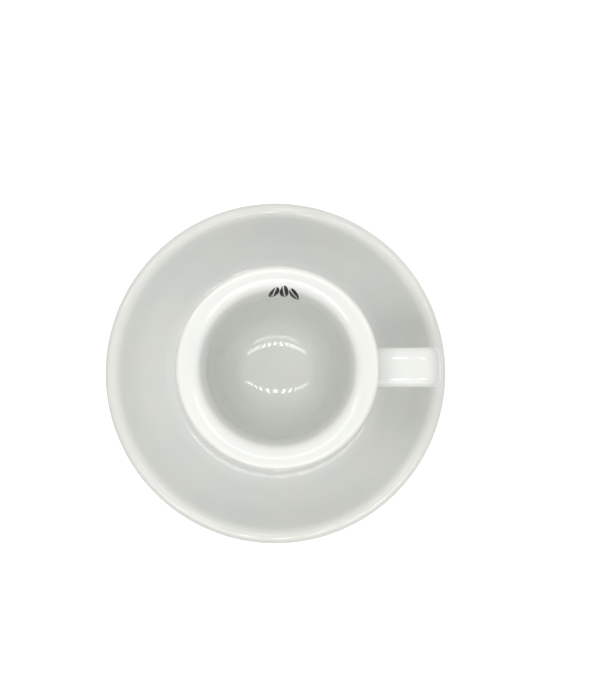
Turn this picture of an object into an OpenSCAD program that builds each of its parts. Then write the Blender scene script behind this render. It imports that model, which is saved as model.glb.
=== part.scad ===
// Espresso cup with saucer
// A thick-walled cup with a squared strap handle stands in the shallow well of a round, dished saucer.
// Millimetres, +Z up. The origin lies on the table under the middle of the saucer.
// The handle points along +X, and the printed mark inside the cup lies close to +Y.

/* [Saucer] */
// Outer diameter of the saucer
saucer_d = 120; // [108:1:150]
// Height of the saucer, from the table to the crest of its rim
saucer_h = 17.5; // [15:0.5:22]
// Diameter of the level floor
saucer_floor_d = 76; // [74:1:80]
// Height of the level floor over the table
saucer_floor_h = 6.6; // [6:0.1:8]
// Thickness of the floor
saucer_floor_t = 4; // [3:0.1:5]
// Thickness of the sloping side, square to its surface
saucer_side_t = 4.5; // [3.8:0.1:5.4]
// Radius of the bend where the floor turns up
saucer_bend_r = 15; // [10:0.5:18]
// Slope at the upper end of that bend, in degrees
saucer_bend_angle = 20; // [14:1:24]
// Width of the low bead at the edge of the floor
saucer_bead_w = 1.6; // [1.2:0.1:2.4]
// Height of that bead
saucer_bead_h = 0.08; // [0.06:0.01:0.15]
// Slope of the side where it is steepest, in degrees
saucer_side_angle = 48; // [42:1:52]
// Radius over which the side rolls out to the crest of the rim
saucer_roll_r = 4.7; // [4:0.1:6.5]
// Outer diameter of the foot ring
saucer_foot_d = 66; // [58:1:70]
// Width of the foot ring
saucer_foot_w = 3.4; // [2.6:0.1:5]
// Rounding of the foot ring's edges
saucer_foot_round = 0.6; // [0.3:0.1:1]

/* [Well] */
// Depth of the well that the cup stands in
well_depth = 1.2; // [0.8:0.1:1.8]
// Gap between the cup's foot and the foot of the well's wall
well_gap = 1.5; // [0.5:0.1:3]
// Width of the well's sloping wall
well_ramp = 1.8; // [1:0.1:3]

/* [Cup] */
// Height of the cup, from its foot to its rim
cup_h = 56.5; // [50:0.5:64]
// Outer diameter of the rim
cup_d = 60.8; // [57:0.1:66]
// Outer diameter of the body halfway down
cup_belly_d = 51; // [48:0.1:56]
// Outer diameter of the foot ring
cup_foot_d = 37; // [34:0.5:42]
// Width of the foot ring
cup_foot_w = 3.2; // [2.4:0.1:4.5]
// Height of the foot ring's outer side
cup_foot_side = 3; // [2:0.1:5]
// Depth of the hollow under the foot
cup_hollow = 2.2; // [1.2:0.1:3]
// Rounding of the foot ring's edges
cup_foot_round = 0.6; // [0.3:0.1:1]
// Thickness of the cup's base in the middle
cup_base_t = 5.6; // [4:0.1:8]
// Diameter of the dished bottom inside
cup_dish_d = 28; // [24:0.5:30]
// Radius of that dish's curve
cup_dish_r = 48; // [42:1:60]
// Slope of the wall inside, in degrees
wall_angle = 88; // [86:0.5:89]

/* [Lip] */
// Radius of the lip's outer edge
lip_edge_r = 1.3; // [0.8:0.1:1.7]
// Radius of the lip's gently domed top, inside its crest
lip_dome_r = 10.5; // [8:0.5:14]
// Slope at the inner end of that dome, in degrees
lip_dome_angle = 23; // [18:1:28]
// Radius over which the lip rolls into the cup
lip_roll_r = 3.8; // [3.2:0.1:4.4]
// Slope at the lower end of the roll, in degrees
lip_roll_angle = 62; // [56:1:65]
// Radius of the shoulder in which the roll goes on into the wall
lip_shoulder_r = 12; // [10:0.5:16]
// Inward slope of the body under the lip, in degrees
lip_taper = 18; // [8:1:22]

/* [Handle] */
// Distance that the handle stands out past the rim
handle_reach = 21.4; // [17:0.1:26]
// Depth of the handle's top under the rim
handle_drop = 10.6; // [8:0.1:16]
// Width of the strap
handle_w = 12.5; // [9:0.1:15]
// Thickness of the strap
handle_t = 4.8; // [3.6:0.1:6]
// Inner radius of the upper corner
handle_corner_r = 1.2; // [0.5:0.1:4]
// Straight length of the outer side
handle_side_l = 4; // [2:0.1:7]
// Inner radius of the lower bend
handle_bend_r = 11; // [8:0.1:13]
// Inward lean of the outer side, in degrees
handle_lean = 6; // [0:1:12]
// Fall of the lower arm towards the body, in degrees
handle_fall = 14; // [8:1:20]
// Squareness of the strap's section, where 2 is an ellipse
handle_square = 3.2; // [2:0.1:4]

/* [Luting slip] */
// Thickness of the slip between handle and body
slip_t = 0.4; // [0.2:0.05:0.8]
// Width of the bead that shows round the handle's roots
slip_bead = 0.6; // [0.3:0.1:1]

/* [Printed mark] */
// Length of one bean
bean_l = 6; // [5:0.1:6.2]
// Width of one bean
bean_w = 2.7; // [2:0.1:2.8]
// Width of the crease down a bean
crease_w = 0.4; // [0.3:0.05:0.8]
// Distance between neighbouring beans
bean_pitch = 3.1; // [3:0.1:4]
// Lean of the outer beans, in degrees
bean_lean = 20; // [0:1:22]
// Thickness of the print
print_t = 0.1; // [0.08:0.01:0.2]
// Direction of the mark round the cup, in degrees from the handle
print_angle = 84.5; // [60:0.5:120]
// Place of the mark on the lip's shoulder, in degrees from the crest
print_tilt = 66; // [65:1:71]

/* [Hidden] */
$fn = 128;

// Steps along arcs and curves
arc_steps = 10;
curve_steps = 24;
strap_sides = 30;
bean_sides = 36;

// Pull of a curve's ends, as shares of the distance that it spans
side_low_share = 0.45;
side_high_share = 0.34;
ramp_pull_share = 0.5;
body_pull_share = 0.21;
bowl_pull_share = 0.15;
wall_pull_share = 0.73;
// Slope of the body where it meets the foot, in degrees from upright
body_foot_angle = 40;
// Draw-in of the body over the foot, as a share of the foot ring's width
foot_waist_share = 0.12;
// Bow of a bean's crease, as a share of its width
crease_bow_share = 0.14;
// Drop of the outer beans, as a share of a bean's length
bean_drop_share = 0.08;

// Levels
under_z = saucer_floor_h - saucer_side_t;
recess_z = saucer_floor_h - saucer_floor_t;
seat_z = saucer_floor_h - well_depth;
rim_z = seat_z + cup_h;
hollow_z = seat_z + cup_hollow;
bottom_z = hollow_z + cup_base_t;

// Radii of the saucer. The rim's edge is round enough to keep the side's thickness.
saucer_r = saucer_d / 2;
floor_r = saucer_floor_d / 2;
saucer_foot_r = saucer_foot_d / 2;
edge_r = (saucer_side_t - saucer_roll_r * (1 - cos(saucer_side_angle))) / (1 + cos(saucer_side_angle));
crest_r = saucer_r - edge_r;
well_r = cup_foot_d / 2 + well_gap;
bead_r = (pow(saucer_bead_w / 2, 2) + pow(saucer_bead_h, 2)) / (2 * saucer_bead_h);
bead_angle = asin(saucer_bead_w / 2 / bead_r);

// Radii of the cup
rim_r = cup_d / 2;
foot_r = cup_foot_d / 2;
lip_r = rim_r - lip_edge_r;
dish_angle = asin(cup_dish_d / 2 / cup_dish_r);

// Points of a section are [distance from the axis, height].
// Angles run from straight up towards the outside.
function spoke(angle) = [sin(angle), cos(angle)];
function arc(centre, radius, from, to) =
    [for (i = [0:arc_steps]) centre + radius * spoke(from + (to - from) * i / arc_steps)];

// Cubic curve through four control points, moved sideways to the right of its travel
function on_curve(p, t) =
    pow(1 - t, 3) * p[0] + 3 * pow(1 - t, 2) * t * p[1] + 3 * (1 - t) * t * t * p[2] + pow(t, 3) * p[3];
function along_curve(p, t) =
    pow(1 - t, 2) * (p[1] - p[0]) + 2 * (1 - t) * t * (p[2] - p[1]) + t * t * (p[3] - p[2]);
function right_of(v) = [v[1], -v[0]] / norm(v);
function curve(p, aside = 0) = [
    for (i = [0:curve_steps])
        let (t = i / curve_steps)
            on_curve(p, t) + aside * right_of(along_curve(p, t))
];
function tail(list) = [for (i = [1:len(list) - 1]) list[i]];
function backwards(list) = [for (i = [len(list) - 1:-1:0]) list[i]];

// Saucer section
bend_centre = [floor_r, saucer_floor_h + saucer_bend_r];
bend_top = arc(bend_centre, saucer_bend_r, 180, 180 - saucer_bend_angle);
bend_under = arc(bend_centre, saucer_bend_r + saucer_side_t, 180, 180 - saucer_bend_angle);
bead_centre = [floor_r - saucer_bead_w / 2, saucer_floor_h + saucer_bead_h - bead_r];
bead = arc(bead_centre, bead_r, -bead_angle, bead_angle);
roll_centre = [crest_r, saucer_h - saucer_roll_r];
side_from = bend_centre + saucer_bend_r * spoke(180 - saucer_bend_angle);
side_to = roll_centre + saucer_roll_r * spoke(-saucer_side_angle);
side_l = norm(side_to - side_from);
side_curve = [
    side_from,
    side_from + side_low_share * side_l * [cos(saucer_bend_angle), sin(saucer_bend_angle)],
    side_to - side_high_share * side_l * [cos(saucer_side_angle), sin(saucer_side_angle)],
    side_to
];
roll_top = arc(roll_centre, saucer_roll_r, -saucer_side_angle, 0);
rim_edge = arc([crest_r, saucer_h - edge_r], edge_r, 0, 180 - saucer_side_angle);
ramp_curve = [
    [well_r, seat_z],
    [well_r + well_ramp * ramp_pull_share, seat_z],
    [well_r + well_ramp * ramp_pull_share, saucer_floor_h],
    [well_r + well_ramp, saucer_floor_h]
];

// Foot ring from its outer top, down and round to its inner top
function foot_ring(radius, width, round, base, outer_top, inner_top) = concat(
    [[radius, outer_top]],
    arc([radius - round, base + round], round, 90, 180),
    arc([radius - width + round, base + round], round, 180, 270),
    [[radius - width, inner_top]]
);

saucer_section = concat(
    [[0, seat_z]],
    curve(ramp_curve),
    bead,
    tail(bend_top),
    tail(curve(side_curve)),
    tail(roll_top),
    tail(rim_edge),
    backwards(curve(side_curve, saucer_side_t)),
    tail(backwards(bend_under)),
    foot_ring(saucer_foot_r, saucer_foot_w, saucer_foot_round, 0, under_z, recess_z),
    [[0, recess_z]]
);

// Cup section
dish = arc([0, bottom_z + cup_dish_r], cup_dish_r, 180, 180 - dish_angle);
dish_edge = [cup_dish_d / 2, bottom_z + cup_dish_r * (1 - cos(dish_angle))];
lip_edge_centre = [lip_r, rim_z - lip_edge_r];
lip_edge = arc(lip_edge_centre, lip_edge_r, 0, 90 + lip_taper);
dome_centre = [lip_r, rim_z - lip_dome_r];
dome = arc(dome_centre, lip_dome_r, -lip_dome_angle, 0);
roll_in_centre = dome_centre + (lip_dome_r - lip_roll_r) * spoke(-lip_dome_angle);
roll_in = arc(roll_in_centre, lip_roll_r, -lip_roll_angle, -lip_dome_angle);
shoulder_centre = roll_in_centre + (lip_roll_r - lip_shoulder_r) * spoke(-lip_roll_angle);
shoulder = arc(shoulder_centre, lip_shoulder_r, -wall_angle, -lip_roll_angle);
cavity_depth = shoulder[0][1] - dish_edge[1];
wall_curve = [
    dish_edge,
    dish_edge + bowl_pull_share * cavity_depth * [cos(dish_angle), sin(dish_angle)],
    shoulder[0] - wall_pull_share * cavity_depth * [cos(wall_angle), sin(wall_angle)],
    shoulder[0]
];
body_from = lip_edge_centre + lip_edge_r * spoke(90 + lip_taper);
body_to = [foot_r - cup_foot_w * foot_waist_share, seat_z + cup_foot_side];
body_upper = body_from - body_pull_share * (body_from[1] - body_to[1]) * [sin(lip_taper), cos(lip_taper)];
// Halfway along the curve the body has its stated belly diameter
body_lower_r = (4 * cup_belly_d - body_from[0] - 3 * body_upper[0] - body_to[0]) / 3;
body_curve = [
    body_from,
    body_upper,
    [body_lower_r, body_to[1] + (body_lower_r - body_to[0]) / tan(body_foot_angle)],
    body_to
];

cup_section = concat(
    dish,
    tail(curve(wall_curve)),
    tail(shoulder),
    tail(roll_in),
    tail(dome),
    tail(lip_edge),
    tail(curve(body_curve)),
    tail(foot_ring(foot_r, cup_foot_w, cup_foot_round, seat_z, body_to[1], hollow_z)),
    [[0, hollow_z]]
);

// Solid inside the body's outer face, grown outwards
module body_core(grow) {
    rotate_extrude()
        polygon(concat(
            [[0, body_from[1]]],
            [for (p = curve(body_curve)) p + [grow, 0]],
            [[0, body_to[1]]]
        ));
}

// Strap of the handle, drawn in the plane of the loop with its width along Z
corner_r = handle_corner_r + handle_t / 2;
bend_r = handle_bend_r + handle_t / 2;
corner_centre = [
    rim_r + handle_reach - handle_t / 2 - corner_r,
    rim_z - handle_drop - handle_t / 2 - corner_r
];
bend_at = corner_centre
    + corner_r * [cos(handle_lean), -sin(handle_lean)]
    - handle_side_l * [sin(handle_lean), cos(handle_lean)];
lower_centre = bend_at - bend_r * [cos(handle_lean), -sin(handle_lean)];
bend_angle = 90 - handle_fall;
lower_l = (lower_centre[0] + bend_r * cos(bend_angle) - foot_r) / cos(handle_fall);

function signed_power(x, e) = sign(x) * pow(abs(x), e);
module strap_section(grow) {
    half_t = handle_t / 2 + grow;
    half_w = handle_w / 2 + grow;
    polygon([
        for (i = [0:strap_sides - 1])
            let (a = 360 * (i + 0.5) / strap_sides)
                [
                    half_t * signed_power(cos(a), 2 / handle_square),
                    half_w * signed_power(sin(a), 2 / handle_square)
                ]
    ]);
}

// Straight length of strap that leaves a bend of the given radius at the given angle
module straight(centre, radius, angle, from, length, grow) {
    translate(centre)
        rotate([0, 0, angle])
            translate([radius, 0, 0])
                rotate([90, 0, 0])
                    translate([0, 0, from])
                        linear_extrude(height = length)
                            strap_section(grow);
}

module turned(centre, radius, from, sweep) {
    translate(centre)
        rotate([0, 0, from])
            rotate_extrude(angle = sweep)
                translate([radius, 0])
                    strap_section(0);
}

// Both arms run on into the body, where the body's face cuts them
module arms(grow) {
    upper_l = corner_centre[0] - foot_r;
    straight(corner_centre, corner_r, 90, -upper_l, upper_l, grow);
    straight(lower_centre, bend_r, -bend_angle, 0, lower_l, grow);
}

module strap() {
    arms(0);
    turned(corner_centre, corner_r, -handle_lean, 90 + handle_lean);
    straight(corner_centre, corner_r, -handle_lean, 0, handle_side_l, 0);
    turned(lower_centre, bend_r, -bend_angle, bend_angle - handle_lean);
}

// Outline of a bean: an ellipse parted by a bowed crease
module bean() {
    crease_bow = bean_w * crease_bow_share;
    difference() {
        polygon([
            for (i = [0:bean_sides - 1])
                let (a = 360 * i / bean_sides)
                    [bean_l / 2 * cos(a), bean_w / 2 * sin(a)]
        ]);
        polygon(concat(
            [
                for (i = [-arc_steps:arc_steps])
                    [bean_l * i / arc_steps, crease_bow * sin(180 * i / arc_steps) - crease_w / 2]
            ],
            [
                for (i = [arc_steps:-1:-arc_steps])
                    [bean_l * i / arc_steps, crease_bow * sin(180 * i / arc_steps) + crease_w / 2]
            ]
        ));
    }
}

module saucer() {
    color([0.86, 0.87, 0.85])
        rotate_extrude()
            polygon(saucer_section);
}

module cup_body() {
    color([0.95, 0.95, 0.93])
        rotate_extrude()
            polygon(cup_section);
}

module cup_handle() {
    color([0.96, 0.96, 0.94])
        difference() {
            rotate([90, 0, 0])
                strap();
            body_core(slip_t);
        }
}

module handle_slip() {
    color([0.9, 0.91, 0.89])
        intersection() {
            rotate([90, 0, 0])
                arms(slip_bead);
            difference() {
                body_core(slip_t);
                body_core(0);
            }
        }
}

// Three beans, printed on the shoulder of the lip as a skin of its own thickness
module cup_mark() {
    skin = concat(
        arc(shoulder_centre, lip_shoulder_r + print_t, -wall_angle, -lip_roll_angle),
        tail(arc(roll_in_centre, lip_roll_r + print_t, -lip_roll_angle, -lip_dome_angle))
    );
    place = shoulder_centre + lip_shoulder_r * spoke(-print_tilt);
    color([0.06, 0.06, 0.06])
        intersection() {
            rotate_extrude()
                polygon(concat(shoulder, tail(roll_in), backwards(skin)));
            rotate([0, 0, print_angle])
                translate([place[0], 0, place[1]])
                    rotate([0, -print_tilt, 0])
                        for (i = [-1:1])
                            translate([-abs(i) * bean_l * bean_drop_share, i * bean_pitch, 0])
                                rotate([0, 0, -i * bean_lean])
                                    linear_extrude(height = bean_l, center = true)
                                        bean();
        }
}

saucer();
cup_body();
cup_handle();
handle_slip();
cup_mark();
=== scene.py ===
import math

import bpy
import numpy as np
from mathutils import Matrix, Vector


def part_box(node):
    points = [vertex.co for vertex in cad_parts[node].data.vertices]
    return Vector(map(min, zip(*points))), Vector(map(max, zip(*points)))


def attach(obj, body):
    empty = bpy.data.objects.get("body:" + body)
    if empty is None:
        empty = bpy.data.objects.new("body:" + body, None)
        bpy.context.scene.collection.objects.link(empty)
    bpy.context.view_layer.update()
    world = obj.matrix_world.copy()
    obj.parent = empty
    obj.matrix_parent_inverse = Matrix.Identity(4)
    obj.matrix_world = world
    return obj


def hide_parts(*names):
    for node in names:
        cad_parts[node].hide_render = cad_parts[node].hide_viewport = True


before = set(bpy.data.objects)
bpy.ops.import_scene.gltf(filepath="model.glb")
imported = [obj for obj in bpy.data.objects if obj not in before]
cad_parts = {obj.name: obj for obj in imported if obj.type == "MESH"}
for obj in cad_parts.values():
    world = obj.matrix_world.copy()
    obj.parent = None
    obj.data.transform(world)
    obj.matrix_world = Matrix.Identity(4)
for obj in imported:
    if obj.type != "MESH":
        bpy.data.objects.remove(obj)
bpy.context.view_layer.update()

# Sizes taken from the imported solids, in metres
MM = 0.001
_, saucer_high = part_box("saucer")
cup_low, cup_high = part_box("cup_body")
handle_low, handle_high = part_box("cup_handle")
SAUCER_R = saucer_high.x
SAUCER_Z = saucer_high.z
RIM_R = cup_high.x
RIM_Z = cup_high.z
SEAT_Z = cup_low.z
HANDLE_X = handle_high.x
HANDLE_Z = handle_high.z
HANDLE_W = handle_high.y - handle_low.y

# Saucer: a well for the cup, a level floor with a low bead at its edge, a curved side and a rolled rim
WELL_DEPTH = 1.2 * MM
WELL_GAP = 1.5 * MM
WELL_RAMP = 1.8 * MM
FLOOR_R = 38 * MM
FLOOR_Z = SEAT_Z + WELL_DEPTH
FLOOR_T = 4 * MM
BEAD_W = 1.6 * MM
BEAD_H = 0.08 * MM
SIDE_T = 4.5 * MM
BEND_R = 15 * MM
BEND_ANGLE = 20
SIDE_ANGLE = 48
SIDE_LOW_SHARE = 0.45
SIDE_HIGH_SHARE = 0.34
RIM_ROLL_R = 4.7 * MM
SAUCER_FOOT_R = 33 * MM
SAUCER_FOOT_W = 3.4 * MM

# Cup: a dished bottom, a steep wall, a lip that rolls inwards and a tapering body
CUP_FOOT_R = 18.5 * MM
CUP_FOOT_W = 3.2 * MM
CUP_FOOT_SIDE = 3 * MM
CUP_HOLLOW = 2.2 * MM
CUP_BASE_T = 5.6 * MM
BELLY_D = 51 * MM
DISH_R = 71 * MM
DISH_D = 28 * MM
DISH_EDGE_ANGLE = 25.3
DISH_POWER = 5
BOWL_PULL = 5.5 * MM
WALL_PULL = 28 * MM
BODY_PULL_SHARE = 0.21
LIP_EDGE_R = 1.3 * MM
LIP_DOME_R = 10.5 * MM
LIP_DOME_ANGLE = 23
LIP_ROLL_R = 3.8 * MM
LIP_ROLL_ANGLE = 62
LIP_SHOULDER_R = 12 * MM
WALL_ANGLE = 88
LIP_TAPER = 18
BODY_FOOT_ANGLE = 40
FOOT_WAIST = 0.38 * MM
FOOT_EDGE_R = 0.6 * MM
FOOT_FILLET_R = 0.9 * MM
LIP_R = RIM_R - LIP_EDGE_R

# Handle: a squared strap on a loop, with filleted roots
HANDLE_T = 4.8 * MM
HANDLE_CORNER_R = 3.6 * MM
HANDLE_BEND_R = 13.4 * MM
HANDLE_SIDE = 4 * MM
HANDLE_LEAN = 6
HANDLE_FALL = 14
HANDLE_SQUARE = 3.2
ROOT_R = 1.8 * MM
ROOT_SETTLE = 7 * MM
ROOT_SUNK = 1 * MM

# Print: three coffee beans on the shoulder of the lip
BEAN_L = 6 * MM
BEAN_W = 2.7 * MM
BEAN_PITCH = 3.1 * MM
BEAN_DROP = 0.48 * MM
BEAN_LEAN = 20
CREASE_W = 0.4 * MM
CREASE_BOW = 0.39 * MM
PRINT_T = 0.1 * MM
PRINT_SUNK = 0.03 * MM
PRINT_ANGLE = 84.5
PRINT_TILT = 66
PRINT_UP = LIP_SHOULDER_R * math.radians(WALL_ANGLE - PRINT_TILT)
PRINT_LIFT = 1 * MM

# Fineness of the surfaces: counts of points, rings and sides, then two lengths
TURNS = 256
ARC_STEPS = 16
CURVE_STEPS = 40
LEVEL_STEPS = 24
EDGE_STEPS = 8
FILLET_STEPS = 10
RAMP_STEPS = 14
ROLL_STEPS = 20
CREST_STEPS = 24
DISH_STEPS = 48
WALL_STEPS = 64
WAIST_STEPS = 12
WAIST_OVERLAP = 4
LOOP_CORNER_STEPS = 120
LOOP_BEND_STEPS = 240
LOOP_STRAIGHT_STEPS = 200
LOOP_ARM_STEPS = 2000
STRAP_SIDES = 72
STRAP_RINGS = 180
ROOT_RINGS = 12
BEAN_STEPS = 42
BEAN_LANES = 12
AXIS_GAP = 0.2 * MM
LEAST_STEP = 0.002 * MM

# Glaze: how far a bend's effect reaches, and the bend at which it gathers or thins clearly; the gathering
# also sets the painted shade in hollows
POOL_BLUR = 0.9 * MM
POOL_RADIUS = 3 * MM

# Photograph: the camera looks down on the table from a short way off, turned a little against the handle
IMAGE_H = 700
FOCAL_PIXELS = 804
SENSOR = 36
CAMERA_PLACE = Vector((-2.2, -7.7, 300)) * MM
CAMERA_AIM = Vector((6.9, 8.43, 0)) * MM
CAMERA_ROLL = 0.65
CAMERA_CLIP = 10 * MM


# Sections, as points of [distance from the axis, height]
def spoke(angle):
    """Unit vector at an angle in degrees, from straight up towards the outside."""
    return np.array((math.sin(math.radians(angle)), math.cos(math.radians(angle))))


def slope(angle):
    """Unit vector that climbs outwards at an angle in degrees over the level."""
    return np.array((math.cos(math.radians(angle)), math.sin(math.radians(angle))))


def arc(centre, radius, start, end, steps=ARC_STEPS):
    """Points on a circle: the centre plus the radius times a spoke that turns evenly from start to end."""
    angle = np.radians(np.linspace(start, end, steps))
    return np.asarray(centre) + radius * np.column_stack((np.sin(angle), np.cos(angle)))


def curve(first, pull_first, pull_last, last, steps=CURVE_STEPS):
    """Cubic curve: the four points weighted by (1-t)^3, 3t(1-t)^2, 3t^2(1-t) and t^3."""
    t = np.linspace(0, 1, steps)[:, None]
    ends = (1 - t) ** 3 * np.asarray(first) + t**3 * np.asarray(last)
    return ends + 3 * t * (1 - t) * ((1 - t) * np.asarray(pull_first) + t * np.asarray(pull_last))


def level(start, end, height):
    """Points on a level line between two distances from the axis."""
    return np.column_stack((np.linspace(start, end, LEVEL_STEPS), np.full(LEVEL_STEPS, height)))


def chain(*runs):
    """Joins runs of points, leaving out those that repeat the one before."""
    points = np.vstack(runs)
    step = np.linalg.norm(np.diff(points, axis=0), axis=1)
    return points[np.concatenate(([True], step > LEAST_STEP))]


def travel(points):
    """The length along a run up to each of its points."""
    return np.concatenate(([0], np.cumsum(np.linalg.norm(np.diff(points, axis=0), axis=1))))


def beside(points, distance):
    """The run moved square to its travel, to the right."""
    along = np.gradient(points, axis=0)
    along /= np.linalg.norm(along, axis=1, keepdims=True)
    return points + distance * np.column_stack((along[:, 1], -along[:, 0]))


def foot_ring(radius, width, base, hollow_z):
    """From the ring's outer edge round its tread and up a fillet to the hollow inside it."""
    inner = radius - width
    return chain(
        arc((radius - FOOT_EDGE_R, base + FOOT_EDGE_R), FOOT_EDGE_R, 90, 180, EDGE_STEPS),
        arc((inner + FOOT_EDGE_R, base + FOOT_EDGE_R), FOOT_EDGE_R, 180, 270, EDGE_STEPS),
        arc((inner - FOOT_FILLET_R, hollow_z - FOOT_FILLET_R), FOOT_FILLET_R, 90, 0, FILLET_STEPS),
        level(inner - FOOT_FILLET_R, AXIS_GAP, hollow_z),
    )


def saucer_section():
    """From the middle of the well out over the rim, and back under the side to the axis."""
    edge_r = (SIDE_T - RIM_ROLL_R * (1 - slope(SIDE_ANGLE)[0])) / (1 + slope(SIDE_ANGLE)[0])
    crest_r = SAUCER_R - edge_r
    well_r = CUP_FOOT_R + WELL_GAP
    ramp_middle = well_r + WELL_RAMP / 2
    ramp_end = well_r + WELL_RAMP
    bend_centre = np.array((FLOOR_R, FLOOR_Z + BEND_R))
    roll_centre = np.array((crest_r, SAUCER_Z - RIM_ROLL_R))
    start = bend_centre + BEND_R * spoke(180 - BEND_ANGLE)
    end = roll_centre + RIM_ROLL_R * spoke(-SIDE_ANGLE)
    run = np.linalg.norm(end - start)
    start_pull = start + SIDE_LOW_SHARE * run * slope(BEND_ANGLE)
    end_pull = end - SIDE_HIGH_SHARE * run * slope(SIDE_ANGLE)
    side = chain(
        arc(bend_centre, BEND_R, 180, 180 - BEND_ANGLE),
        curve(start, start_pull, end_pull, end),
    )
    bead_r = ((BEAD_W / 2) ** 2 + BEAD_H**2) / (2 * BEAD_H)
    bead_angle = math.degrees(math.asin(BEAD_W / 2 / bead_r))
    bead_centre = (FLOOR_R - BEAD_W / 2, FLOOR_Z + BEAD_H - bead_r)
    fillet_centre = (SAUCER_FOOT_R + FOOT_FILLET_R, FLOOR_Z - SIDE_T - FOOT_FILLET_R)
    ramp_low, ramp_high = (ramp_middle, SEAT_Z), (ramp_middle, FLOOR_Z)
    return chain(
        level(AXIS_GAP, well_r, SEAT_Z),
        curve((well_r, SEAT_Z), ramp_low, ramp_high, (ramp_end, FLOOR_Z), RAMP_STEPS),
        level(ramp_end, FLOOR_R - BEAD_W, FLOOR_Z),
        arc(bead_centre, bead_r, -bead_angle, bead_angle, CREST_STEPS),
        side,
        arc(roll_centre, RIM_ROLL_R, -SIDE_ANGLE, 0, ROLL_STEPS),
        arc((crest_r, SAUCER_Z - edge_r), edge_r, 0, 180 - SIDE_ANGLE, CREST_STEPS),
        beside(side, SIDE_T)[::-1],
        arc(fillet_centre, FOOT_FILLET_R, 0, -90, FILLET_STEPS),
        foot_ring(SAUCER_FOOT_R, SAUCER_FOOT_W, 0, FLOOR_Z - FLOOR_T),
    )


def body_line():
    """The cup's outer face in two runs: over the lip's edge, then down to the waist over the foot. The
    second's middle, (start + 3 upper + 3 lower + end) / 8, is half the belly's width from the axis."""
    edge_centre = np.array((LIP_R, RIM_Z - LIP_EDGE_R))
    start = edge_centre + LIP_EDGE_R * spoke(90 + LIP_TAPER)
    end = np.array((CUP_FOOT_R - FOOT_WAIST, SEAT_Z + CUP_FOOT_SIDE))
    upper = start - BODY_PULL_SHARE * (start[1] - end[1]) * spoke(LIP_TAPER)
    lower_r = (4 * BELLY_D - start[0] - 3 * upper[0] - end[0]) / 3
    lower_z = end[1] + (lower_r - end[0]) / math.tan(math.radians(BODY_FOOT_ANGLE))
    edge = arc(edge_centre, LIP_EDGE_R, 0, 90 + LIP_TAPER, CREST_STEPS)
    return edge, curve(start, upper, (lower_r, lower_z), end, WALL_STEPS)


def dish_line(bottom_z):
    """The dished bottom: its slope is r / R in the middle, plus a part that grows with a power of r until
    its edge has the stated angle."""
    edge = DISH_D / 2
    out = np.linspace(AXIS_GAP, edge, DISH_STEPS)
    growth = (math.tan(math.radians(DISH_EDGE_ANGLE)) - edge / DISH_R) / edge**DISH_POWER
    height = out**2 / (2 * DISH_R) + growth * out ** (DISH_POWER + 1) / (DISH_POWER + 1)
    return np.column_stack((out, bottom_z + height))


def roll_line(lift=0):
    """The inside of the lip from the wall up, as a wide shoulder, a tight roll and a gentle dome. It can be
    lifted off the face."""
    dome = np.array((LIP_R, RIM_Z - LIP_DOME_R))
    roll = dome + (LIP_DOME_R - LIP_ROLL_R) * spoke(-LIP_DOME_ANGLE)
    shoulder = roll + (LIP_ROLL_R - LIP_SHOULDER_R) * spoke(-LIP_ROLL_ANGLE)
    return chain(
        arc(shoulder, LIP_SHOULDER_R + lift, -WALL_ANGLE, -LIP_ROLL_ANGLE, ROLL_STEPS),
        arc(roll, LIP_ROLL_R + lift, -LIP_ROLL_ANGLE, -LIP_DOME_ANGLE, ROLL_STEPS),
        arc(dome, LIP_DOME_R + lift, -LIP_DOME_ANGLE, 0, ROLL_STEPS),
    )


def cup_section():
    """From the middle of the dish up the wall, over the lip, and down the body to the hollow in its foot."""
    hollow_z = SEAT_Z + CUP_HOLLOW
    dish = dish_line(hollow_z + CUP_BASE_T)
    roll = roll_line()
    bowl_pull = dish[-1] + BOWL_PULL * slope(DISH_EDGE_ANGLE)
    bowl = curve(dish[-1], bowl_pull, roll[0] - WALL_PULL * slope(WALL_ANGLE), roll[0], WALL_STEPS)
    lip, body = body_line()
    foot = foot_ring(CUP_FOOT_R, CUP_FOOT_W, SEAT_Z, hollow_z)
    waist = curve(body[-WAIST_OVERLAP], body[-1], body[-1], foot[0], WAIST_STEPS)
    return chain(dish, bowl, roll, lip, body[:-WAIST_OVERLAP], waist, foot)


def pooling_shade(section):
    """Where glaze gathers and shade is painted: the section's left turn per length, blurred along it and
    squeezed into -1 to 1.
    """
    step = np.diff(section, axis=0)
    turn = np.pad(np.diff(np.unwrap(np.arctan2(step[:, 1], step[:, 0]))), 1)
    place = travel(section)
    weight = np.exp(-0.5 * ((place[:, None] - place[None]) / POOL_BLUR) ** 2)
    return np.tanh(POOL_RADIUS * (weight @ turn) / (weight @ np.gradient(place)))


# Surfaces: grids of rings, closed round each ring and at both ends
def spun(section):
    """A section spun about the upright axis: a point (r, z) goes to (r cos a, r sin a, z)."""
    angle = np.linspace(0, 2 * np.pi, TURNS, endpoint=False)
    out, height = section[:, :1], np.repeat(section[:, 1:], TURNS, axis=1)
    return np.stack((out * np.cos(angle), out * np.sin(angle), height), axis=-1)


def squared(wave):
    """A cosine or sine raised to the power that squares off an ellipse, with its sign kept."""
    return np.sign(wave) * np.abs(wave) ** (2 / HANDLE_SQUARE)


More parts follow.
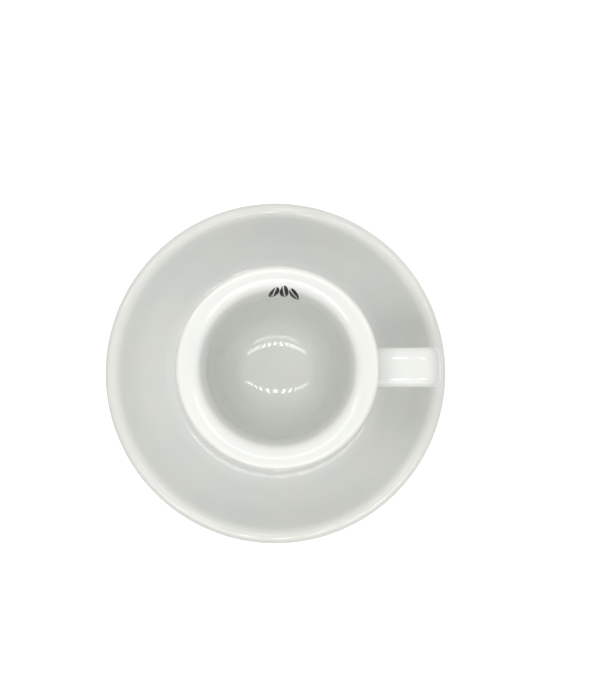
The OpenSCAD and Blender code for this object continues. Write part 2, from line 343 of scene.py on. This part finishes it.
def loop_path(body):
    """The handle's middle line in the plane of its loop, as close points [x, z] from root to root."""
    top_z = HANDLE_Z - HANDLE_T / 2
    corner = np.array((HANDLE_X - HANDLE_T / 2 - HANDLE_CORNER_R, top_z - HANDLE_CORNER_R))
    upper_root = np.array((np.interp(top_z, body[::-1, 1], body[::-1, 0]), top_z))
    upper_turn = arc(corner, HANDLE_CORNER_R, 0, 90 + HANDLE_LEAN, LOOP_CORNER_STEPS)
    down = spoke(180 + HANDLE_LEAN)
    bend = upper_turn[-1] + HANDLE_SIDE * down - HANDLE_BEND_R * spoke(90 + HANDLE_LEAN)
    lower_turn = arc(bend, HANDLE_BEND_R, 90 + HANDLE_LEAN, 180 - HANDLE_FALL, LOOP_BEND_STEPS)
    arm = lower_turn[-1] - np.linspace(0, HANDLE_X, LOOP_ARM_STEPS)[:, None] * slope(HANDLE_FALL)
    outside = arm[:, 0] > np.interp(arm[:, 1], body[::-1, 1], body[::-1, 0])
    straight = np.linspace(0, 1, LOOP_STRAIGHT_STEPS)[:, None]
    return chain(
        upper_root + straight * (upper_turn[0] - upper_root),
        upper_turn,
        upper_turn[-1] + straight * HANDLE_SIDE * down,
        lower_turn,
        arm[outside],
    )


def strap():
    """The handle: a squared ellipse square to the loop's line at each station. Near a root it swells by the
    fillet's quarter round, its rings lean until one lies on the body's face, and one more is sunk in it.
    Gives back the rings and how far glaze pools on them, which also paints shade at the roots."""
    _, body = body_line()
    path = loop_path(body)
    length = travel(path)
    near = ROOT_R * (1 - np.cos(np.linspace(0, np.pi / 2, ROOT_RINGS)))
    middle = np.linspace(ROOT_R, length[-1] - ROOT_R, STRAP_RINGS)[1:-1]
    station = np.concatenate((near, middle, length[-1] - near[::-1]))
    line = np.column_stack([np.interp(station, length, path[:, i]) for i in (0, 1)])
    along = np.gradient(path, length, axis=0)
    along = np.column_stack([np.interp(station, length, along[:, i]) for i in (0, 1)])
    along /= np.linalg.norm(along, axis=1, keepdims=True)
    root = np.minimum(station, length[-1] - station)[:, None]
    swell = ROOT_R - np.sqrt(np.maximum(ROOT_R**2 - (ROOT_R - np.minimum(root, ROOT_R)) ** 2, 0))
    angle = np.linspace(0, 2 * np.pi, STRAP_SIDES, endpoint=False)
    thick = (HANDLE_T / 2 + swell) * squared(np.cos(angle))
    across = (HANDLE_W / 2 + swell) * squared(np.sin(angle))
    x = line[:, :1] - along[:, 1:] * thick
    z = line[:, 1:] + along[:, :1] * thick
    face_r = np.interp(z, body[::-1, 1], body[::-1, 0])
    face_x = np.sqrt(np.maximum(face_r**2 - across**2, 0))
    settle = np.clip(1 - root / ROOT_SETTLE, 0, 1)
    x = x + settle**2 * (3 - 2 * settle) * (face_x - (x - root * np.abs(along[:, :1])))
    grid = np.stack((x, across, z), axis=-1)
    sunk = np.array((ROOT_SUNK, 0, 0))
    # Painted shade at the handle's roots, partly as glaze pooled in the fillet
    pool_shade = np.repeat(np.clip(swell / ROOT_R, 0, 1), STRAP_SIDES, axis=1)
    rings = np.concatenate((grid[:1] - sunk, grid, grid[-1:] - sunk))
    return rings, np.pad(pool_shade, ((1, 1), (0, 0)), mode="edge")


def half_bean(number, side):
    """Half of a bean: u runs along it and v from its crease to its rim and back underneath. The flat outline
    is laid on the inside of the lip: lengths along it run up the lip's section, and those across it run
    round the cup."""
    u = np.linspace(-1, 1, BEAN_STEPS)[1:-1, None] * np.pi / 2
    v = np.linspace(0, 1, BEAN_LANES)[None]
    v = np.concatenate((v, v[:, ::-1]), axis=1)
    lift = np.repeat((PRINT_T, -PRINT_SUNK), BEAN_LANES)
    lift[[0, BEAN_LANES - 1]] = 0
    x = BEAN_L / 2 * np.sin(u)
    rim = BEAN_W / 2 * np.cos(u)
    crease = np.clip(CREASE_BOW * np.sin(np.pi * x / BEAN_L) + side * CREASE_W / 2, -rim, rim)
    y = crease + (side * rim - crease) * v
    lean = math.radians(-number * BEAN_LEAN)
    up = x * math.cos(lean) - y * math.sin(lean) - abs(number) * BEAN_DROP
    round_cup = x * math.sin(lean) + y * math.cos(lean) + number * BEAN_PITCH
    under, over = roll_line(), roll_line(PRINT_LIFT)
    length = travel(under)
    place = PRINT_UP + up
    normal = (over - under) / PRINT_LIFT
    out, height, out_push, height_push = (
        np.interp(place, length, values) for values in (under[:, 0], under[:, 1], normal[:, 0], normal[:, 1])
    )
    turn = math.radians(PRINT_ANGLE) + round_cup / out
    out = out + lift * out_push
    return np.stack((out * np.cos(turn), out * np.sin(turn), height + lift * height_push), axis=-1)


def shell(grid):
    """Points and faces of a closed grid: its rings, the middle of each end ring, and faces outwards."""
    rings, sides, _ = grid.shape
    points = np.vstack((grid.reshape(-1, 3), grid[0].mean(axis=0), grid[-1].mean(axis=0)))
    here = np.arange(rings * sides).reshape(rings, sides)
    beyond = np.roll(here, -1, axis=1)
    quads = np.stack((here[:-1], here[1:], beyond[1:], beyond[:-1]), axis=-1).reshape(-1, 4)
    first, last = np.full(sides, rings * sides), np.full(sides, rings * sides + 1)
    ends = np.vstack((np.stack((first, here[0], beyond[0]), -1), np.stack((last, beyond[-1], here[-1]), -1)))
    triangles = points[np.vstack((quads[:, :3], quads[:, [0, 2, 3]], ends))]
    volume = np.einsum("ij,ij->", triangles[:, 0], np.cross(triangles[:, 1], triangles[:, 2]))
    turn = 1 if volume > 0 else -1
    return points, quads[:, ::turn].tolist() + ends[:, ::turn].tolist()


def piece(name, grids, finish, body, nodes, pool_shade=None):
    """Makes one smooth object of one or more closed grids, which stands for the given solids."""
    points, faces, count = [], [], 0
    for grid in grids:
        new_points, new_faces = shell(grid)
        points.append(new_points)
        faces += [[count + i for i in face] for face in new_faces]
        count += len(new_points)
    mesh = bpy.data.meshes.new(name)
    mesh.from_pydata(np.vstack(points).tolist(), [], faces)
    mesh.polygons.foreach_set("use_smooth", np.ones(len(mesh.polygons), dtype=bool))
    if pool_shade is not None:
        values = np.concatenate((pool_shade.ravel(), (pool_shade[0].mean(), pool_shade[-1].mean())))
        mesh.attributes.new("pool_shade", "FLOAT", "POINT").data.foreach_set("value", values.astype(np.float32))
    mesh.materials.append(finish)
    mesh.update()
    made = bpy.data.objects.new(name, mesh)
    bpy.context.scene.collection.objects.link(made)
    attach(made, body)
    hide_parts(*nodes)


def turned_piece(name, section, finish, body, node):
    """Makes a piece by spinning a section, with glaze that pools in its hollows and painted shade there."""
    pool_shade = np.repeat(pooling_shade(section)[:, None], TURNS, axis=1)
    piece(name, [spun(section)], finish, body, [node], pool_shade)


# Nodes of the finishes, with the numbers of a Mix node's sockets for colours
MIX_FIRST = 6
MIX_SECOND = 7
MIX_RESULT = 2


class Tone:
    """An output of a finish's nodes. Arithmetic on it adds Math nodes."""

    def __init__(self, finish, socket):
        self.finish = finish
        self.socket = socket

    def __add__(self, other):
        return self.finish.math("ADD", self, other)

    def __sub__(self, other):
        return self.finish.math("SUBTRACT", self, other)

    def __rsub__(self, other):
        return self.finish.math("SUBTRACT", other, self)

    def __mul__(self, other):
        return self.finish.math("MULTIPLY", self, other)

    __radd__ = __add__
    __rmul__ = __mul__


class Finish:
    """A material in the making, or the world when it is given one."""

    def __init__(self, name, owner=None):
        self.owner = owner or bpy.data.materials.new(name)
        self.owner.use_nodes = True
        self.tree = self.owner.node_tree
        self.tree.nodes.clear()

    def node(self, kind, settings=None, inputs=None, output=0):
        """Adds a node: its settings first, then the values or links of its sockets. Gives back one output."""
        made = self.tree.nodes.new(kind)
        for key, value in (settings or {}).items():
            setattr(made, key, value)
        for key, value in (inputs or {}).items():
            if isinstance(value, Tone):
                self.tree.links.new(value.socket, made.inputs[key])
            else:
                made.inputs[key].default_value = value
        return Tone(self, made.outputs[output]) if made.outputs else None

    def math(self, operation, *values):
        """A Math node on one or two values."""
        return self.node("ShaderNodeMath", {"operation": operation}, dict(enumerate(values)))

    def step(self, value, low, high):
        """Smooth step of a value from 0 at low to 1 at high."""
        inputs = {"Value": value, "From Min": low, "From Max": high}
        return self.node("ShaderNodeMapRange", {"interpolation_type": "SMOOTHSTEP"}, inputs)

    def mix(self, share, first, second):
        """Colour that goes from the first to the second as share goes from 0 to 1."""
        inputs = {0: share, MIX_FIRST: first, MIX_SECOND: second}
        return self.node("ShaderNodeMix", {"data_type": "RGBA"}, inputs, MIX_RESULT)

    def blend(self, share, first, second):
        """Shader that goes from the first to the second as share goes from 0 to 1."""
        return self.node("ShaderNodeMixShader", None, {0: share, 1: first, 2: second})

    def noise(self, place, size, detail=2.0, rough=0.5):
        """Soft noise whose features are about the given size across."""
        inputs = {"Vector": place, "Scale": 1 / size, "Detail": detail, "Roughness": rough}
        return self.node("ShaderNodeTexNoise", None, inputs, "Fac")

    def specks(self, place, pitch, radius, share):
        """Round specks in a given share of the cells of a scattered grid."""
        inputs = {"Vector": place, "Scale": 1 / pitch}
        distance = self.node("ShaderNodeTexVoronoi", None, inputs, "Distance")
        draw = self.node("ShaderNodeTexVoronoi", None, inputs, "Color")
        lot = self.node("ShaderNodeSeparateColor", None, {0: draw}, "Red")
        drawn = self.step(lot, 1 - share, 1 - share + LOT_BLUR)
        return self.step(distance, radius / pitch, radius / pitch / 2) * drawn

    def glossy(self, colour, rough, normal):
        """Ends the material in the gloss of glaze."""
        inputs = {"Base Color": colour, "Roughness": rough, "IOR": GLAZE_INDEX, "Normal": normal}
        self.end(self.node("ShaderNodeBsdfPrincipled", None, inputs))

    def end(self, shader, output="ShaderNodeOutputMaterial"):
        """Adds the output that shows a shader."""
        self.node(output, None, {"Surface": shader})


def rgb(red, green, blue):
    """A colour in linear light, with full cover."""
    return (red, green, blue, 1.0)


# Glaze: its colours and gloss, and the spans of noise or pooling over which they change; the pooled colour is
# partly painted shade
GLAZE_COOL = rgb(0.705, 0.725, 0.694)
GLAZE_WARM = rgb(0.728, 0.736, 0.696)
# Painted shade: a darker, greener glaze for hollows and the handle's roots, partly as pooled glaze
GLAZE_POOL_SHADE = rgb(0.662, 0.691, 0.672)
GLAZE_THIN = rgb(0.763, 0.753, 0.706)
GLAZE_ROUGH = 0.05
GLAZE_INDEX = 1.55
CLOUD_SIZE = 22 * MM
CLOUD_DETAIL = 3.0
CLOUD_SPAN = (0.3, 0.7)
CLOUD_ROUGH = 0.03
CLOUD_ROUGH_SPAN = (0.35, 0.75)
POOL_SHADE_SPAN = (0.05, 1.0)
THIN_SPAN = (-0.1, -1.0)
POOL_SHARE = 0.6
LIP_DULL = 0.08
LIP_DULL_SPAN = (-0.1, -0.3)

# Flaws in the glaze, each kind with its pitch, its radius and the share of places that have one
LOT_BLUR = 0.001
IRON_SPECK = rgb(0.42, 0.36, 0.27)
IRON_SPECKS = (7 * MM, 0.13 * MM, 0.10)
IRON_SHARE = 0.45
PINHOLES = (5 * MM, 0.22 * MM, 0.12)

# Marks that the cup's foot rubs into the saucer's well
METAL_MARK = rgb(0.47, 0.475, 0.47)
RUBS_PER_METRE = 2600.0
RUBS_PER_RADIAN = 1.6
RUB_DETAIL = 3.0
RUB_NOISE_ROUGH = 0.6
RUB_SPAN = (0.52, 0.72)
RUB_BEYOND = 0.8 * MM
RUB_WITHIN = 0.4 * MM
RUB_TOP = 0.3 * MM
RUB_FULL = 0.1 * MM
RUB_SHARE = 0.4
RUB_ROUGH = 0.22

# Bare tread of a foot ring
BISQUE = rgb(0.74, 0.715, 0.655)
BISQUE_DARK = rgb(0.62, 0.59, 0.53)
BARE_H = 0.5 * MM
BARE_BLUR = 0.06 * MM
BARE_ROUGH = 0.62
WANDER_H = 0.25 * MM
WANDER_SIZE = 2.5 * MM
NOISE_MIDDLE = 0.5
GRAIN_SIZE = 0.35 * MM
GRAIN_SPAN = (0.35, 0.7)

# Relief: its unit, the size of its waves, and heights and depths in that unit
RELIEF_UNIT = 0.001 * MM
WAVE_SIZE = 9 * MM
WAVE_H = 5.0
PINHOLE_DEPTH = 12.0
GRAIN_H = 30.0
GLAZE_T = 40.0

# Ink of the print
INK_DEEP = rgb(0.006, 0.006, 0.007)
INK_THIN = rgb(0.035, 0.035, 0.036)
INK_SCREEN_SIZE = 0.25 * MM
INK_PATCH_SIZE = 1.6 * MM
INK_PATCH_SHARE = 0.5
INK_THIN_SPAN = (0.68, 0.95)
INK_ROUGH = 0.09
INK_THIN_ROUGH = 0.15
INK_RELIEF = 0.004 * MM


def glazed(name, foot_z, rubbed=None, lip_dull=0.0):
    """White glaze on porcelain. It clouds a little between two whites, is greener and darker in hollows,
    partly as pooled glaze and partly as painted shade, and whiter where it thins, has a few iron specks and
    pinholes, and stops short of the bare tread of the foot. Its gloss can be softer where a lip bends over,
    and it can be rubbed in a ring between two radii."""
    finish = Finish(name)
    place = finish.node("ShaderNodeTexCoord", output="Object")
    x, y, z = (finish.node("ShaderNodeSeparateXYZ", None, {0: place}, axis) for axis in "XYZ")
    pool_shade = finish.node("ShaderNodeAttribute", {"attribute_name": "pool_shade"}, output="Fac")
    cloud = finish.noise(place, CLOUD_SIZE, CLOUD_DETAIL)
    grain = finish.noise(place, GRAIN_SIZE)
    specks = finish.specks(place, *IRON_SPECKS)
    pinholes = finish.specks(place, *PINHOLES)
    colour = finish.mix(finish.step(cloud, *CLOUD_SPAN), GLAZE_COOL, GLAZE_WARM)
    # Painted shade: darker and greener where the section bends inwards and at the handle's roots, partly as
    # pooled glaze
    colour = finish.mix(finish.step(pool_shade, *POOL_SHADE_SPAN) * POOL_SHARE, colour, GLAZE_POOL_SHADE)
    colour = finish.mix(finish.step(pool_shade, *THIN_SPAN) * POOL_SHARE, colour, GLAZE_THIN)
    colour = finish.mix(specks * IRON_SHARE, colour, IRON_SPECK)
    rough = GLAZE_ROUGH + CLOUD_ROUGH * finish.step(cloud, *CLOUD_ROUGH_SPAN)
    rough = rough + lip_dull * finish.step(pool_shade, *LIP_DULL_SPAN)
    if rubbed:
        inner, outer = rubbed
        away = finish.math("SQRT", x * x + y * y)
        turn = finish.math("ARCTAN2", y, x)
        across, around = away * RUBS_PER_METRE, turn * RUBS_PER_RADIAN
        arcs = finish.node("ShaderNodeCombineXYZ", None, {"X": across, "Y": around})
        marks = finish.step(finish.noise(arcs, 1.0, RUB_DETAIL, RUB_NOISE_ROUGH), *RUB_SPAN)
        begun = finish.step(away, inner - RUB_BEYOND, inner + RUB_WITHIN)
        ended = finish.step(away, outer + RUB_BEYOND, outer - RUB_WITHIN)
        low = finish.step(z, SEAT_Z + RUB_TOP, SEAT_Z + RUB_FULL)
        scuff = marks * (begun * ended) * low
        colour = finish.mix(scuff * RUB_SHARE, colour, METAL_MARK)
        rough = rough + scuff * RUB_ROUGH
    edge = foot_z + BARE_H + (finish.noise(place, WANDER_SIZE) - NOISE_MIDDLE) * WANDER_H
    bare = 1 - finish.step(z - edge, -BARE_BLUR, BARE_BLUR)
    clay = finish.mix(finish.step(grain, *GRAIN_SPAN), BISQUE, BISQUE_DARK)
    colour = finish.mix(bare, colour, clay)
    rough = rough + bare * BARE_ROUGH
    height = finish.noise(place, WAVE_SIZE) * WAVE_H - pinholes * PINHOLE_DEPTH
    height = height + grain * bare * GRAIN_H - bare * GLAZE_T
    normal = finish.node("ShaderNodeBump", None, {"Strength": 1.0, "Distance": RELIEF_UNIT, "Height": height})
    finish.glossy(colour, rough, normal)
    return finish.owner


def inked(name):
    """Black print fired under the glaze: deep where it lies thick, greyer where the screen left it thin."""
    finish = Finish(name)
    place = finish.node("ShaderNodeTexCoord", output="Object")
    screen = finish.noise(place, INK_SCREEN_SIZE)
    patches = finish.noise(place, INK_PATCH_SIZE)
    thin = finish.step(screen + patches * INK_PATCH_SHARE, *INK_THIN_SPAN)
    colour = finish.mix(thin, INK_DEEP, INK_THIN)
    normal = finish.node("ShaderNodeBump", None, {"Distance": INK_RELIEF, "Height": screen})
    finish.glossy(colour, INK_ROUGH + thin * INK_THIN_ROUGH, normal)
    return finish.owner


saucer_glaze = glazed("saucer_glaze", 0, rubbed=(CUP_FOOT_R - CUP_FOOT_W, CUP_FOOT_R))
cup_glaze = glazed("cup_glaze", SEAT_Z, lip_dull=LIP_DULL)
ink = inked("black_ink")

# Pieces
turned_piece("saucer_shell", saucer_section(), saucer_glaze, "saucer", "saucer")
turned_piece("cup_shell", cup_section(), cup_glaze, "cup", "cup_body")
strap_grid, strap_pool_shade = strap()
strap_nodes = ["cup_handle", "handle_slip"]
piece("handle_strap", [strap_grid], cup_glaze, "cup", strap_nodes, strap_pool_shade)
beans = [half_bean(number, side) for number in (-1, 0, 1) for side in (-1, 1)]
piece("printed_beans", beans, ink, "cup", ["cup_mark"])

# Stage: a white table, soft panels over it, two upright sheets beside it, and lamps that show in the glaze
WHITE = rgb(1, 1, 1)
SKY_LEVEL = 0.18
TABLE_SIZE = 6.0
TABLE_DROP = 0.05 * MM
TABLE_COLOUR = rgb(0.85, 0.85, 0.845)
TABLE_GLOW = 0.42
TABLE_NEAR = 120 * MM
TABLE_FAR = 300 * MM
FRAME_Z = 340 * MM
FRAME_OUT = 150 * MM
FRAME_W = 150 * MM
FRAME_L = 3 * FRAME_W
FRAME_LEVELS = {"left": 2.40, "right": 1.82, "front": 5.10, "back": 4.05}
SHEET_OUT = 350 * MM
SHEET_Z = 180 * MM
SHEET_W = 500 * MM
SHEET_H = 300 * MM
SHEET_LEVELS = {"right": 0.40, "back": 0.13}
ROW_X = -4 * MM
ROW_Z = 265 * MM
ROW_L = 242 * MM
ROW_TILES = 14
ROW_FILL_SHARE = 0.45
ROW_LEVEL = 12.5
FRONT_ROW_Y = -73.5 * MM
FRONT_ROW_W = 27 * MM
FRONT_ROW_TURN = 2.2
BACK_ROW_Y = 49.2 * MM
BACK_ROW_W = 12 * MM
BACK_ROW_TURN = -4.2
STRIP_Y = -148 * MM
STRIP_W = 44 * MM
STRIP_LEVEL = 3.6


def seen(finish):
    """1 for rays that show a surface, by sight or in a gloss, and 0 for those that only carry light."""
    kinds = ("Camera", "Glossy", "Transmission")
    sight, gloss, through = (finish.node("ShaderNodeLightPath", output=f"Is {kind} Ray") for kind in kinds)
    return finish.math("MAXIMUM", finish.math("MAXIMUM", sight, gloss), through)


def staged(name, points, faces, finish):
    """A flat thing of the stage, which is no piece of the part."""
    mesh = bpy.data.meshes.new(name)
    mesh.from_pydata(points, [], faces)
    mesh.materials.append(finish.owner)
    made = bpy.data.objects.new(name, mesh)
    bpy.context.scene.collection.objects.link(made)
    return made


def white_table():
    """A level sheet whose colour and glow add up to white where nothing shades it. It turns plain white far
    off, and is clear from below."""
    finish = Finish("white_table")
    matt = finish.node("ShaderNodeBsdfDiffuse", None, {"Color": TABLE_COLOUR})
    glow = finish.node("ShaderNodeEmission", None, {"Strength": TABLE_GLOW})
    lit = finish.node("ShaderNodeAddShader", None, {0: matt, 1: glow})
    white = finish.node("ShaderNodeEmission", None, {"Strength": 1.0})
    place = finish.node("ShaderNodeTexCoord", output="Object")
    away = finish.node("ShaderNodeVectorMath", {"operation": "LENGTH"}, {0: place}, "Value")
    shown = finish.blend(finish.step(away, TABLE_NEAR, TABLE_FAR), lit, white)
    top = finish.blend(seen(finish), matt, shown)
    below = finish.node("ShaderNodeNewGeometry", output="Backfacing")
    finish.end(finish.blend(below, top, finish.node("ShaderNodeBsdfTransparent")))
    half = TABLE_SIZE / 2
    corners = [(x * half, y * half, -TABLE_DROP) for x, y in ((-1, -1), (1, -1), (1, 1), (-1, 1))]
    staged("white_table", corners, [(0, 1, 2, 3)], finish)


def white_sky():
    """White to look at, and a dimmer even light on everything."""
    world = bpy.data.worlds.new("white_sky")
    bpy.context.scene.world = world
    finish = Finish("white_sky", world)
    dim = finish.node("ShaderNodeBackground", None, {"Color": WHITE, "Strength": SKY_LEVEL})
    white = finish.node("ShaderNodeBackground", None, {"Color": WHITE, "Strength": 1.0})
    finish.end(finish.blend(seen(finish), dim, white), "ShaderNodeOutputWorld")


def lamp(name, place, width, depth, brightness, turn=(0, 0, 0)):
    """A flat lamp that faces straight down unless it is turned. It doesn't show in the gloss."""
    light = bpy.data.lights.new(name, "AREA")
    light.shape = "RECTANGLE"
    light.size = width
    light.size_y = depth
    light.energy = brightness * math.pi * width * depth
    made = bpy.data.objects.new(name, light)
    made.location = place
    made.rotation_euler = turn
    made.visible_glossy = False
    bpy.context.scene.collection.objects.link(made)


def lamp_row(name, row_y, width, turn, tiles, fill_share, brightness):
    """A row of bright tiles that face down and show only in the gloss of the glaze. Each fills a share of
    its place in the row, and the row is turned about its middle by some degrees."""
    finish = Finish(name)
    finish.end(finish.node("ShaderNodeEmission", None, {"Strength": brightness}))
    finish.owner.cycles.emission_sampling = "NONE"
    pitch = ROW_L / tiles
    middle = (np.arange(tiles) + 0.5) * pitch - ROW_L / 2
    corner = np.array(((-1, -1), (-1, 1), (1, 1), (1, -1))) * (pitch * fill_share / 2, width / 2)
    x, y = middle[:, None] + corner[:, 0], corner[:, 1]
    along, across = slope(turn)
    points = np.zeros((tiles, 4, 3))
    points[..., 0] = ROW_X + along * x - across * y
    points[..., 1] = row_y + across * x + along * y
    points[..., 2] = ROW_Z
    row = staged(name, points.reshape(-1, 3).tolist(), np.arange(4 * tiles).reshape(-1, 4).tolist(), finish)
    row.visible_camera = row.visible_diffuse = row.visible_shadow = False


white_table()
white_sky()
for side, place, depth in (
    ("left", (-FRAME_OUT, 0), FRAME_L),
    ("right", (FRAME_OUT, 0), FRAME_L),
    ("front", (0, -FRAME_OUT), FRAME_W),
    ("back", (0, FRAME_OUT), FRAME_W),
):
    lamp(f"frame_{side}", (*place, FRAME_Z), FRAME_W, depth, FRAME_LEVELS[side])
lamp("sheet_right", (SHEET_OUT, 0, SHEET_Z), SHEET_H, SHEET_W, SHEET_LEVELS["right"], (0, math.pi / 2, 0))
lamp("sheet_back", (0, SHEET_OUT, SHEET_Z), SHEET_W, SHEET_H, SHEET_LEVELS["back"], (-math.pi / 2, 0, 0))
lamp_row("lamp_row_front", FRONT_ROW_Y, FRONT_ROW_W, FRONT_ROW_TURN, ROW_TILES, ROW_FILL_SHARE, ROW_LEVEL)
lamp_row("lamp_row_back", BACK_ROW_Y, BACK_ROW_W, BACK_ROW_TURN, ROW_TILES, ROW_FILL_SHARE, ROW_LEVEL)
lamp_row("lamp_strip", STRIP_Y, STRIP_W, FRONT_ROW_TURN, tiles=1, fill_share=1, brightness=STRIP_LEVEL)

# Camera
camera = bpy.data.cameras.new("camera")
camera.sensor_width = SENSOR
camera.lens = SENSOR * FOCAL_PIXELS / IMAGE_H
camera.clip_start = CAMERA_CLIP
viewer = bpy.data.objects.new("camera", camera)
bpy.context.scene.collection.objects.link(viewer)
sight = (CAMERA_AIM - CAMERA_PLACE).normalized()
picture_up = Vector((*spoke(CAMERA_ROLL), 0))
right = sight.cross(picture_up).normalized()
axes = Matrix((right, right.cross(sight), -sight)).transposed()
viewer.matrix_world = Matrix.Translation(CAMERA_PLACE) @ axes.to_4x4()
bpy.context.scene.camera = viewer
bpy.context.scene.view_settings.view_transform = "Standard"
